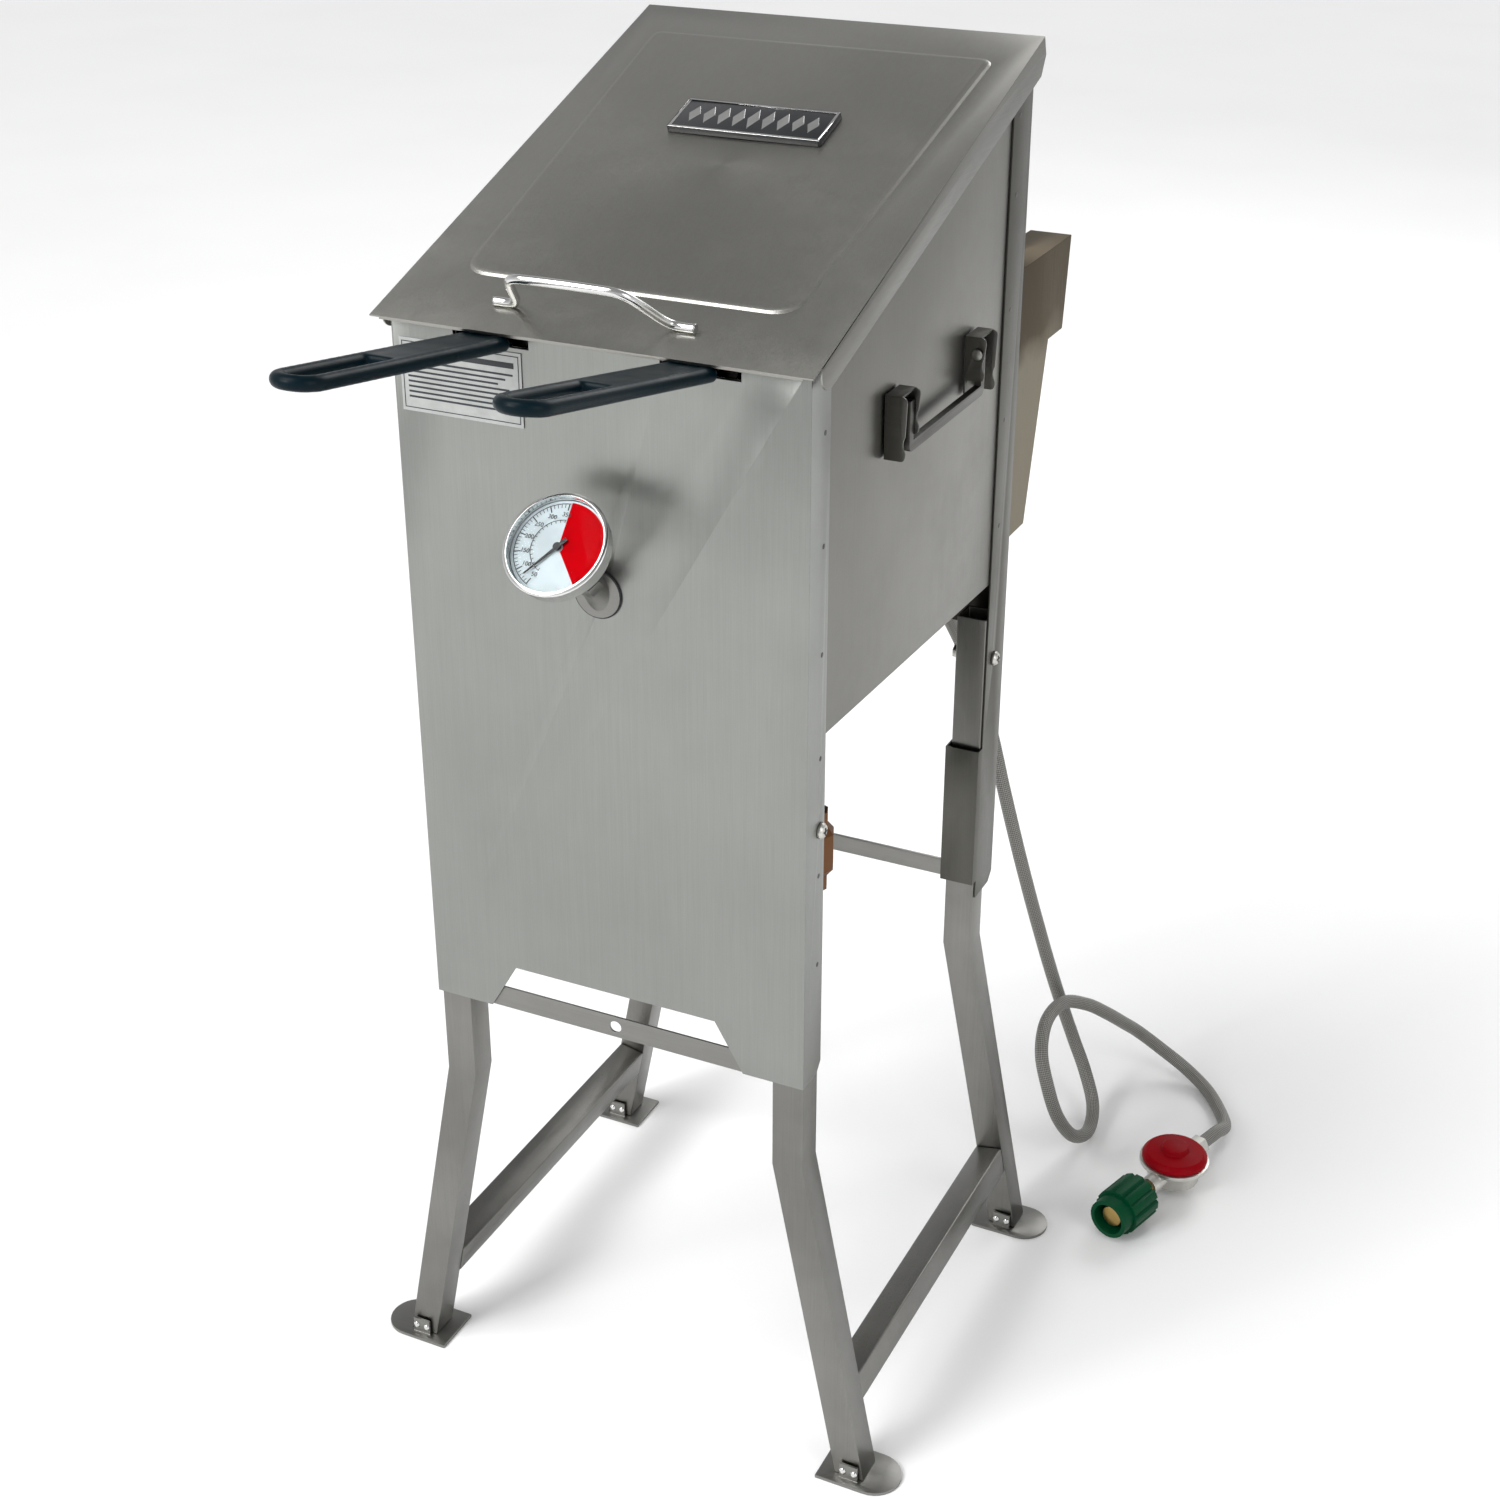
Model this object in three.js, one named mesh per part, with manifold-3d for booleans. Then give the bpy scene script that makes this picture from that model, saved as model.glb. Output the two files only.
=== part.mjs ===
// Tall twin-basket outdoor gas fryer. Millimetres, +Z up, front towards -Y.
// The fryer group is measured from the middle of the front panel's face, at floor level.
import * as THREE from "three";
import { mergeVertices } from "three/addons/utils/BufferGeometryUtils.js";
import Module from "manifold-3d";

const wasm = await Module();
wasm.setup();

// Driving dimensions
const sheet = 1.2;
const gap = 0.4;
const halfWidth = 160;
const panelBottom = 372.3;
const frontFlange = 31.5;
const legSize = 25.4;
const legX = 145.8;
const legY = { front: 16.5, rear: 375 };
const legBend = 295;
const legTop = 611;
const legSplay = 57.7;
const footThickness = 3;
const postFront = 365;
const postRear = 405;
const postTop = 1038;
const lidTilt = THREE.MathUtils.degToRad(19.2);
const lidFront = { y: -14.8, z: 928.1 };
const lidSlope = 443;
const lidHalfWidth = 167.5;
const lidSkirt = 23;
const shoulder = 800;
const apex = 655;
const potHalfWidth = 156.6;
const potFront = 4;
const potRear = 398;
const slotIn = 50;
const slotOut = 110;
const slotBottom = 914;
const gripX = 78;
const gripReach = 236;
const gripTilt = { left: 9.1, right: 10.9 };
const gripThickness = 10;
const flueRear = 534.6;
const dialRadius = 38.5;
const hoseDiameter = 13;
// The fryer's footprint, from the grips' tips to the flues, is centred on the origin.
const frontFaceY = (gripReach - flueRear) / 2;

function metal(color, roughness, metalness) {
  return new THREE.MeshStandardMaterial({ color, roughness, metalness });
}

const steel = metal(0x9a9c98, 0.38, 1);
const darkSteel = metal(0x4a453f, 0.6, 0.9);
const chrome = metal(0xd8dadb, 0.12, 1);
const brass = metal(0xa98a4e, 0.35, 1);
const castIron = metal(0x2b2a29, 0.8, 0.6);
const rubber = metal(0x16242c, 0.55, 0);
const black = metal(0x111111, 0.4, 0);
const red = metal(0xb01c1c, 0.35, 0);
const green = metal(0x1d8a4e, 0.35, 0);
const zinc = metal(0xb4b2a6, 0.4, 1);
const white = metal(0xdfe8ea, 0.6, 0);
const glass = metal(0xffffff, 0.05, 0);

const fryer = new THREE.Group();
fryer.position.y = frontFaceY;

// Solids: closed geometries become manifolds to be joined and cut, then meshes again.
function solid(geometry) {
  const bare = geometry.clone();
  bare.deleteAttribute("normal");
  bare.deleteAttribute("uv");
  const merged = mergeVertices(bare, 1e-4);
  const index = merged.index.array;
  const faces = [];
  for (let i = 0; i < index.length; i += 3) {
    const [a, b, c] = [index[i], index[i + 1], index[i + 2]];
    if (a !== b && b !== c && c !== a) faces.push(a, b, c);
  }
  const build = (triVerts) =>
    new wasm.Manifold(
      new wasm.Mesh({
        numProp: 3,
        vertProperties: new Float32Array(merged.attributes.position.array),
        triVerts: new Uint32Array(triVerts),
      }),
    );
  const made = build(faces);
  if (made.volume() > 0) return made;
  const flipped = [];
  for (let i = 0; i < faces.length; i += 3) flipped.push(faces[i], faces[i + 2], faces[i + 1]);
  return build(flipped);
}

const asSolid = (shape) => (shape instanceof THREE.BufferGeometry ? solid(shape) : shape);
const join = (first, ...rest) => rest.reduce((sum, next) => sum.add(asSolid(next)), asSolid(first));
const cut = (first, ...rest) => rest.reduce((left, next) => left.subtract(asSolid(next)), asSolid(first));
const keep = (first, second) => asSolid(first).intersect(asSolid(second));

function add(name, shape, material, parent = fryer) {
  const made = asSolid(shape).getMesh();
  const geometry = new THREE.BufferGeometry();
  const count = made.vertProperties.length / made.numProp;
  const position = new Float32Array(count * 3);
  for (let i = 0; i < count; i++) {
    for (let k = 0; k < 3; k++) position[3 * i + k] = made.vertProperties[made.numProp * i + k];
  }
  geometry.setAttribute("position", new THREE.BufferAttribute(position, 3));
  geometry.setIndex(new THREE.BufferAttribute(new Uint32Array(made.triVerts), 1));
  geometry.computeVertexNormals();
  const mesh = new THREE.Mesh(geometry, material.clone());
  mesh.name = name;
  parent.add(mesh);
  return mesh;
}

function block(x0, x1, y0, y1, z0, z1) {
  const box = new THREE.BoxGeometry(x1 - x0, y1 - y0, z1 - z0);
  return box.translate((x0 + x1) / 2, (y0 + y1) / 2, (z0 + z1) / 2);
}

function outline(points) {
  return new THREE.Shape(points.map(([a, b]) => new THREE.Vector2(a, b)));
}

function extruded(shape, depth, bevel = 0, bevelWidth = bevel) {
  return new THREE.ExtrudeGeometry(shape, {
    depth: depth - 2 * bevel,
    bevelEnabled: bevel > 0,
    bevelThickness: bevel,
    bevelSize: bevelWidth,
    bevelOffset: -bevelWidth,
    bevelSegments: 2,
    curveSegments: 8,
  }).translate(0, 0, bevel);
}

// A (y, z) outline extruded along X, an (x, z) outline along Y, an (x, y) outline along Z.
function alongX(shape, x0, x1) {
  const turn = new THREE.Matrix4().makeBasis(
    new THREE.Vector3(0, 1, 0),
    new THREE.Vector3(0, 0, 1),
    new THREE.Vector3(1, 0, 0),
  );
  return extruded(shape, x1 - x0).applyMatrix4(turn).translate(x0, 0, 0);
}

function alongY(shape, y0, y1) {
  return extruded(shape, y1 - y0).rotateX(Math.PI / 2).translate(0, y1, 0);
}

function alongZ(shape, z0, z1, bevel = 0) {
  return extruded(shape, z1 - z0, bevel).translate(0, 0, z0);
}

// A profile of [radius, height] pairs turned about Z.
function turned(profile, segments = 24) {
  const points = profile.map(([r, h]) => new THREE.Vector2(r, h));
  return new THREE.LatheGeometry(points, segments).rotateX(Math.PI / 2);
}

function rod(radius, z0, z1, segments = 16) {
  return turned([[0, z0], [radius, z0], [radius, z1], [0, z1]], segments);
}

function rodX(radius, x0, x1, y, z, segments) {
  return rod(radius, x0, x1, segments).rotateY(Math.PI / 2).translate(0, y, z);
}

function rodY(radius, y0, y1, x, z, segments) {
  return rod(radius, -y1, -y0, segments).rotateX(Math.PI / 2).translate(x, 0, z);
}

function circle(radius, sides, turn = 0) {
  const points = [];
  for (let i = 0; i < sides; i++) {
    const angle = (i / sides) * 2 * Math.PI + turn;
    points.push([radius * Math.cos(angle), radius * Math.sin(angle)]);
  }
  return outline(points);
}

function pipe(points, radius, steps, sides = 8) {
  const path = new THREE.CatmullRomCurve3(points.map((p) => new THREE.Vector3(...p)), false, "centripetal");
  return new THREE.ExtrudeGeometry(circle(radius, sides), { steps, extrudePath: path, bevelEnabled: false });
}

function roundedBox(halfX, halfY, radius) {
  const s = new THREE.Shape();
  s.moveTo(-halfX + radius, -halfY);
  s.absarc(halfX - radius, -halfY + radius, radius, -Math.PI / 2, 0, false);
  s.absarc(halfX - radius, halfY - radius, radius, 0, Math.PI / 2, false);
  s.absarc(-halfX + radius, halfY - radius, radius, Math.PI / 2, Math.PI, false);
  s.absarc(-halfX + radius, -halfY + radius, radius, Math.PI, 1.5 * Math.PI, false);
  return s;
}

// The slanted line that the tops of the walls follow, just under the lid.
const wallTop = (y) => lidFront.z + (y - lidFront.y) * Math.tan(lidTilt) - 2.2;
const sides = { left: -1, right: 1 };
const span = (side, inner, outer) => (side > 0 ? [inner, outer] : [-outer, -inner]);

function handleSlots() {
  const slots = [];
  for (const side of [-1, 1]) {
    const [x0, x1] = span(side, slotIn, slotOut);
    slots.push(block(x0, x1, -5, potFront + 5, slotBottom, 990));
  }
  return slots;
}

const thermometerSeat = { x: -2, z: 746 };
const stemTurn = new THREE.Matrix4().makeRotationX(Math.PI / 4);
const onStem = (geometry) =>
  geometry.applyMatrix4(stemTurn).translate(thermometerSeat.x, 0, thermometerSeat.z);

function frontPanel() {
  const face = outline([
    [-halfWidth, panelBottom],
    [-110, panelBottom],
    [-86.5, 412.6],
    [86.5, 412.6],
    [110, panelBottom],
    [halfWidth, panelBottom],
    [halfWidth, wallTop(0)],
    [-halfWidth, wallTop(0)],
  ]);
  let panel = asSolid(alongY(face, 0, sheet));
  for (const side of [-1, 1]) {
    const flange = outline([
      [0, panelBottom],
      [frontFlange - 7, panelBottom],
      [frontFlange, panelBottom + 8],
      [frontFlange, wallTop(frontFlange) - 1],
      [0, wallTop(0)],
    ]);
    panel = join(panel, alongX(flange, ...span(side, halfWidth - sheet, halfWidth)));
  }
  const bolts = [rodX(3.2, -170, 170, 24, 582)];
  return cut(panel, ...handleSlots(), onStem(rod(6, -40, 40)), ...bolts);
}

function sidePanel(side) {
  const wall = outline([
    [3, 655],
    [402, 641],
    [402, wallTop(402)],
    [3, wallTop(3)],
  ]);
  return alongX(wall, ...span(side, halfWidth - 2.8, halfWidth - 1.6));
}

function pot() {
  const section = (inset) =>
    outline([
      [-potHalfWidth + inset, shoulder],
      [-12 + inset / 2, apex + inset],
      [12 - inset / 2, apex + inset],
      [potHalfWidth - inset, shoulder],
      [potHalfWidth - inset, 1100],
      [-potHalfWidth + inset, 1100],
    ]);
  const roof = alongX(
    outline([
      [-20, wallTop(-20)],
      [420, wallTop(420)],
      [420, 1200],
      [-20, 1200],
    ]),
    -200,
    200,
  );
  return cut(
    alongY(section(0), potFront, potRear),
    alongY(section(1.5), potFront + 1.2, potRear - 1.2),
    roof,
    ...handleSlots(),
    onStem(rod(6, -40, 40)),
    rod(7, 640, 670).translate(0, 78, 0),
  );
}

function flueWindow(side) {
  return block(...span(side, 124, 153), 399, 410, 675, 780);
}

function rearPost(side) {
  const flange = outline([
    [postFront, 345],
    [postRear - 8, 345],
    [postRear, 353],
    [postRear, postTop],
    [postFront, postTop],
  ]);
  const cuff = { front: 356, bottom: 362, top: 492 };
  const post = join(
    alongX(flange, ...span(side, halfWidth - sheet, halfWidth)),
    block(...span(side, 130, halfWidth), postRear - sheet, postRear, 353, postTop),
    block(...span(side, halfWidth - sheet, halfWidth), cuff.front, postFront + 1, cuff.bottom, cuff.top),
    block(...span(side, 130, halfWidth), cuff.front, cuff.front + sheet, cuff.bottom, cuff.top),
    block(...span(side, 130, 130 + sheet), cuff.front, postRear, cuff.bottom, cuff.top),
  );
  return cut(post, flueWindow(side), rodX(3.2, -170, 170, 381, 570));
}

function leg(side, y) {
  const half = legSize / 2;
  const floor = footThickness + 0.3;
  const profile = (inset, above, below) => {
    const lean = legSplay / (legBend - floor);
    const out = legX + half - inset;
    const inn = legX - half + inset;
    const drop = legBend - (floor - below);
    return [
      [inn, legTop + above],
      [out, legTop + above],
      [out, legBend + 1.2],
      [out + lean * drop, floor - below],
      [inn + lean * drop, floor - below],
      [inn, legBend - 1.2],
    ].map(([x, z]) => [side * x, z]);
  };
  const tube = cut(
    alongY(outline(profile(0, 0, 0)), y - half, y + half),
    alongY(outline(profile(1.6, 5, 5)), y - half + 1.6, y + half - 1.6),
  );
  const bolt = y < 100 ? [24, 582] : [381, 570];
  return cut(tube, rodX(3.2, -170, 170, ...bolt));
}

function sideBrace(side) {
  const z = 74;
  const lean = Math.atan2(legSplay, legBend);
  const x = legX + (legSplay * (legBend - z)) / legBend;
  const [y0, y1] = [legY.front + legSize / 2 + gap, legY.rear - legSize / 2 - gap];
  const bar = cut(
    block(-12.5, 12.5, y0, y1, -12.5, 12.5),
    block(-11, 11, y0 - 5, y1 + 5, -11, 11),
  );
  return bar.rotate([0, (side * -lean * 180) / Math.PI, 0]).translate([side * x, 0, z]);
}

function footPlate(side, y) {
  const plate = new THREE.Shape();
  plate.moveTo(177.5, -23);
  plate.lineTo(220, -23);
  plate.absarc(220, 0, 23, -Math.PI / 2, Math.PI / 2, false);
  plate.lineTo(177.5, 23);
  const flat = alongZ(plate, 0, footThickness);
  const tab = block(196, 212, -16, -14, footThickness - 0.5, 17);
  const made = join(flat, tab);
  return (side > 0 ? made : made.rotate([0, 0, 180]).mirror([0, 1, 0])).translate([0, y, 0]);
}

function legBolt(side, y, z) {
  const shank = [[0, 128], [2.9, 128], [2.9, halfWidth + 0.3]];
  const head = turned([...shank, [6.2, halfWidth + 0.3], [6.2, 162], [4.6, 164], [0, 164.6]], 16);
  const nut = alongZ(circle(6, 6), 125, 132.5);
  return solid(head).add(solid(nut)).rotate([0, 90, 0]).rotate([0, 0, side > 0 ? 0 : 180])
    .translate([0, y, z]);
}

function flueDuct(side) {
  const box = (inset, front, rear) =>
    outline([
      [postRear + front, 665.5 + inset],
      [451 - inset, 665.5 + inset],
      [489 - inset, 815.5 + inset],
      [524.6 + rear, 815.5 + inset],
      [534.6 + rear, 892.8 - inset],
      [postRear + front, 892.8 - inset],
    ]);
  const shell = cut(
    alongX(box(0, gap, 0), ...span(side, 120, 156)),
    alongX(box(sheet, 2, 12), ...span(side, 121.2, 154.8)),
  );
  return cut(shell, block(...span(side, 124, 153), 403, 410, 675, 780));
}

function rearPlate() {
  const plate = block(-156.4, 156.4, 400.6, 401.8, 589, 805);
  return cut(plate, flueWindow(1), flueWindow(-1));
}

// Lid group: X across, Y up the slope, Z out of the lid's top face.
const lidGroup = new THREE.Group();
lidGroup.position.set(0, lidFront.y, lidFront.z);
lidGroup.rotation.x = lidTilt;
fryer.add(lidGroup);

function lidShell() {
  const hang = new THREE.Shape();
  hang.moveTo(12, -sheet / 2);
  hang.absarc(24, -11, 12, Math.PI * 0.75, Math.PI * 1.5, false);
  hang.lineTo(430, -lidSkirt - 3);
  hang.lineTo(443, -lidSkirt + 8);
  hang.lineTo(443, -sheet / 2);
  const raised = new THREE.Shape();
  raised.moveTo(-106, 61);
  raised.lineTo(106, 61);
  raised.quadraticCurveTo(128, 61, 129, 82);
  raised.lineTo(142, 392);
  raised.quadraticCurveTo(142, 402, 132, 402);
  raised.lineTo(-132, 402);
  raised.quadraticCurveTo(-142, 402, -142, 392);
  raised.lineTo(-129, 82);
  raised.quadraticCurveTo(-128, 61, -106, 61);
  const emboss = extruded(raised, 4.6, 2.3, 5).translate(0, 0, -2.3);
  return join(
    block(-lidHalfWidth, lidHalfWidth, 0, lidSlope, -sheet, 0),
    emboss,
    block(-halfWidth, halfWidth, 0, sheet, -2.6, -sheet / 2),
    block(-lidHalfWidth, lidHalfWidth, lidSlope - sheet, lidSlope, -12, -sheet / 2),
    alongX(hang, lidHalfWidth - sheet, lidHalfWidth),
    alongX(hang, -lidHalfWidth, -lidHalfWidth + sheet),
  );
}

function lidHandle() {
  const r = 3.2;
  const lean = THREE.MathUtils.degToRad(57);
  const arch = [
    [-77, 0],
    [-66, 0],
    [-60, 2],
    [-56, 8],
    [-48, 33],
    [-44, 42],
    [-37, 47],
    [-24, 48.5],
  ];
  const all = [...arch, ...arch.map(([x, u]) => [-x, u]).reverse()];
  const path = all.map(([x, u]) => [x - 6, 30 - u * Math.cos(lean), r + 0.3 + u * Math.sin(lean)]);
  return pipe(path, r, 56);
}

// Thermometer group: Z along the stem, towards the reader; Y up the dial.
const thermometer = new THREE.Group();
thermometer.position.set(thermometerSeat.x, 0, thermometerSeat.z);
thermometer.rotation.x = Math.PI / 4;
fryer.add(thermometer);

function thermometerMount() {
  const cone = onStem(turned([[0, -30], [13, -30], [9, 12], [9, 15], [0, 15]], 20));
  const hex = onStem(alongZ(circle(10.5, 6), 14, 23));
  const flange = rodY(18, -1.6, 4, thermometerSeat.x, thermometerSeat.z - 1, 28);
  const front = block(-60, 60, -90, -gap, 650, 850);
  return cut(keep(join(cone, hex, flange), front), onStem(rod(5, -60, 60)));
}

function thermometerCase() {
  const profile = [
    [5, 64],
    [dialRadius - 4, 64],
    [dialRadius - 1.5, 67],
    [dialRadius - 1.5, 76],
    [dialRadius, 77],
    [dialRadius, 79.5],
    [dialRadius - 3, 80.6],
    [dialRadius - 3, 66],
    [5, 66],
    [5, 64],
  ];
  return turned(profile, 40);
}

function pointer() {
  const needle = outline([[-1.6, -8], [1.6, -8], [1.1, 0], [0.5, 29], [-0.5, 29], [-1.1, 0]]);
  return join(alongZ(needle, 75.2, 75.8), rod(3, 75, 76.4)).rotate([0, 0, 143]);
}

// A bracket is a box open outwards and downwards. The cheek next to its twin is cut away below,
// so that the carry handle swings clear.
const bracket = { root: 160.3, reach: 176.7, bottom: 829, top: 876, cheek: 1.6 };
const handlePivot = { x: 170.5, z: 863 };

function cheek(bottom) {
  const { root, reach, top } = bracket;
  const s = new THREE.Shape();
  s.moveTo(root, bottom);
  s.lineTo(reach - 4, bottom);
  s.quadraticCurveTo(reach, bottom, reach - 0.6, bottom + 6);
  s.quadraticCurveTo(reach - 4, bottom + 12, reach - 1, bottom + 18);
  s.lineTo(reach, top - 5);
  s.quadraticCurveTo(reach, top, reach - 5, top);
  s.lineTo(root, top);
  return s;
}

function handleBracket(side, y0, y1, innerEnd) {
  const { root, reach, bottom, top, cheek: thick } = bracket;
  const [outer, inner] = innerEnd > 0 ? [y0, y1 - thick] : [y1 - thick, y0];
  const made = join(
    alongY(cheek(bottom), outer, outer + thick),
    alongY(cheek(842), inner, inner + thick),
    block(root, root + 1.3, y0, y1, bottom, top),
    block(root, reach - 4, y0, y1, top - 1.4, top),
  );
  const holed = cut(made, rodY(3, inner - 1, inner + thick + 1, handlePivot.x, handlePivot.z));
  return side > 0 ? holed : holed.mirror([1, 0, 0]);
}

function bail(side) {
  const [y0, y1] = [140, 289];
  const arm = 7;
  const [low, high] = [830, 868];
  const u = new THREE.Shape();
  u.moveTo(y0, high);
  u.lineTo(y0, low + 6);
  u.quadraticCurveTo(y0, low, y0 + 6, low);
  u.lineTo(y1 - 6, low);
  u.quadraticCurveTo(y1, low, y1, low + 6);
  u.lineTo(y1, high);
  u.lineTo(y1 - arm, high);
  u.lineTo(y1 - arm, low + 8);
  u.lineTo(y0 + arm, low + 8);
  u.lineTo(y0 + arm, high);
  const made = join(
    alongX(u, handlePivot.x - 2.7, handlePivot.x + 2.7),
    rodY(2.6, y0 + arm - 1, y0 + arm + 4, handlePivot.x, handlePivot.z),
    rodY(2.6, y1 - arm - 4, y1 - arm + 1, handlePivot.x, handlePivot.z),
  );
  return side > 0 ? made : made.mirror([1, 0, 0]);
}

// Baskets: an open-topped box that stands for wire mesh, on the pot's shoulders.
const basketBox = { inner: 10, outer: 147, front: 22, rear: 342, bottom: 799, top: 914 };

function basket(side) {
  const b = basketBox;
  return cut(
    block(...span(side, b.inner, b.outer), b.front, b.rear, b.bottom, b.top),
    block(...span(side, b.inner + 3, b.outer - 3), b.front + 3, b.rear - 3, b.bottom + 3, b.top + 5),
  );
}

function basketHandle(side) {
  const x = side * gripX;
  const plate = block(x - 20, x + 20, 18.4, 21.6, 870, 922);
  return join(
    plate,
    rodY(3, -1.8, 19, x - 11, 918, 10),
    rodY(3, -1.8, 19, x + 11, 918, 10),
  );
}

function basketGrip(side, tiltDegrees) {
  const tilt = THREE.MathUtils.degToRad(tiltDegrees);
  const start = 2.5;
  const half = gripThickness / 2;
  const length = (gripReach - start - half * Math.sin(tilt)) / Math.cos(tilt);
  const wide = 19.5;
  const s = new THREE.Shape();
  s.moveTo(-wide, 0);
  s.lineTo(-wide, -length + wide);
  s.absarc(0, -length + wide, wide, Math.PI, 2 * Math.PI, false);
  s.lineTo(wide, 0);
  const hole = new THREE.Path();
  hole.absarc(0, -length + 9.5 + 10, 10, Math.PI, 2 * Math.PI, false);
  hole.absarc(0, -length + 9.5 + 82, 10, 0, Math.PI, false);
  s.holes.push(hole);
  const group = new THREE.Group();
  group.position.set(side * gripX, -start, 918);
  group.rotation.x = -tilt;
  fryer.add(group);
  return [alongZ(s, -half, half), group];
}

const valve = { x: 123, y: 95, top: 556, bottom: 490 };

function drainPipe() {
  const path = [
    [0, 78, 656],
    [0, 78, 625],
    [4, 79, 606],
    [22, 81, 598],
    [70, 87, 592],
    [106, 92, 586],
    [valve.x - 4, 94.5, 580],
    [valve.x, valve.y, 568],
    [valve.x, valve.y, valve.top + gap],
  ];
  const raw = pipe(path, 8, 40);
  const outside = alongY(outline([[-40, apex - 0.4], [40, apex - 0.4], [40, 500], [-40, 500]]), 60, 100);
  const rest = block(20, 170, 60, 120, 500, 650);
  return keep(raw, join(outside, rest));
}

function drainValve() {
  const { bottom, top } = valve;
  const middle = [[12, 502], [17, 508], [17, 538], [12, 544]];
  const ball = turned([[0, bottom], [12, bottom], ...middle, [12, top], [0, top]], 8);
  const body = solid(ball).translate([valve.x, valve.y, 0]);
  const stem = rodY(4, valve.y - 24, valve.y - 10, valve.x, 523, 12);
  return cut(join(body, stem), rod(6, 480, 560).translate(valve.x, valve.y, 0));
}

function drainLever() {
  return block(valve.x - 78, valve.x + 9, valve.y - 28, valve.y - 25, 515, 531);
}

function burnerHead() {
  const head = turned([[0, 584], [46, 584], [54, 592], [54, 600], [44, 606], [0, 606]], 24);
  return solid(head).translate([0, 215, 0]);
}

function burnerTube() {
  return rodY(13, 170, 428, 0, 570, 20);
}

function airShutter() {
  return rodY(22, 428.4, 436, 0, 570, 24);
}

function orificeFitting() {
  return join(
    rodY(7, 436.4, 452, 0, 570, 16),
    alongY(circle(11, 6), 452, 466).translate(0, 0, 570),
    rodY(8, 466, 484, 0, 570, 16),
  );
}

// Gas hose, from the orifice fitting down behind the right post and round on the floor.
const hoseRoute = [
  [0, 484.6, 570],
  [0, 512, 570],
  [3, 538, 566],
  [14, 561, 552],
  [34, 575, 526],
  [58, 575, 490],
  [82, 566, 450],
  [102, 555, 408],
  [119, 547, 360],
  [139, 547, 291],
  [155, 562, 216],
  [173, 576, 142],
  [192, 594, 68],
  [208, 589, 36],
  [226, 564, 15],
  [233, 527, 10],
  [228, 493, 26],
  [217, 474, 57],
  [206, 472, 89],
  [193, 486, 117],
  [187, 516, 134],
  [192, 552, 135],
  [207, 581, 120],
  [221, 607, 98],
  [232, 632, 75],
  [243, 656, 52],
  [264, 669, 30],
  [292, 667, 15],
  [319, 650, 8],
  [340, 622, 7],
  [353, 593, 11],
  [351.5, 563, 22.4],
  [343.7, 536, 24],
];

// Regulator and tank connector, lying on the floor. Group Y runs from the connector to the hose.
const regulator = new THREE.Group();
regulator.position.set(330, 491, 24);
regulator.rotation.z = -0.295;
fryer.add(regulator);

function regulatorBody() {
  const bowl = turned([[0, -18], [16, -18], [24, -12], [27, 2], [33, 6], [33, 10], [0, 10]], 28);
  return join(bowl, rodY(9, -44, 0, 0, 0, 12), alongY(circle(11, 6), 28, 46).translate(0, 0, 0));
}

function regulatorCap() {
  return turned([[0, 10.4], [31, 10.4], [31, 14], [27, 18], [13, 19.5], [12, 24], [0, 25]], 28);
}

function tankNut() {
  const lobes = [];
  for (let i = 0; i < 12; i++) {
    const angle = (i / 12) * 2 * Math.PI;
    const r = 22.6;
    lobes.push([r * Math.cos(angle - 0.16), r * Math.sin(angle - 0.16)]);
    lobes.push([r * Math.cos(angle + 0.16), r * Math.sin(angle + 0.16)]);
    lobes.push([20.4 * Math.cos(angle + 0.26), 20.4 * Math.sin(angle + 0.26)]);
  }
  return cut(
    join(alongY(outline(lobes), -96, -60), rodY(19, -110, -95, 0, 0, 28)),
    rodY(15, -112, -70, 0, 0, 24),
    rodY(7.6, -75, -55, 0, 0, 16),
  );
}

function tankNipple() {
  return join(rodY(7, -80, -44.4, 0, 0, 16), rodY(10, -104, -80, 0, 0, 16));
}

// Assembly
add("front_panel", frontPanel(), steel);
add("front_cross_bar", cut(block(-150, 150, 1.6, 3.4, 372.4, 391), rodY(5, 0, 6, 0, 381.7)), steel);
add("pot", pot(), steel);
add("rear_plate", rearPlate(), darkSteel);
add("rear_cross_bar", block(-129.6, 129.6, 357.5, 360.5, 365, 380.5), steel);
for (const [name, side] of Object.entries(sides)) {
  add(`side_panel_${name}`, sidePanel(side), steel);
  add(`rear_post_${name}`, rearPost(side), steel);
  add(`flue_duct_${name}`, flueDuct(side), steel);
  add(`side_brace_${name}`, sideBrace(side), steel);
  for (const [end, y] of Object.entries(legY)) {
    add(`${end}_leg_${name}`, leg(side, y), steel);
    add(`${end}_foot_${name}`, footPlate(side, y), steel);
  }
  add(`front_leg_bolt_${name}`, legBolt(side, 24, 582), zinc);
  add(`rear_leg_bolt_${name}`, legBolt(side, 381, 570), zinc);
  add(`handle_bracket_front_${name}`, handleBracket(side, 124, 150, 1), steel);
  add(`handle_bracket_rear_${name}`, handleBracket(side, 279, 305, -1), steel);
  add(`carry_handle_${name}`, bail(side), steel);
  add(`basket_${name}`, basket(side), chrome);
  add(`basket_handle_${name}`, basketHandle(side), chrome);
  const [grip, holder] = basketGrip(side, gripTilt[name]);
  add(`basket_grip_${name}`, grip, rubber, holder);
}
add("lid", lidShell(), steel, lidGroup);
add("lid_handle", lidHandle(), chrome, lidGroup);
add("lid_badge", alongZ(roundedBox(62, 21, 2), 2.7, 6.7).translate(0, 280, 0), black, lidGroup);
add("info_label", block(-154, -56, -0.9, -gap, 858, 911), zinc);
add("thermometer_mount", thermometerMount(), zinc);
const stem = [[0, -98], [3, -98], [3, -6], [4.6, -4], [4.6, 70], [0, 70]];
add("thermometer_stem", turned(stem, 16), zinc, thermometer);
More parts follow.
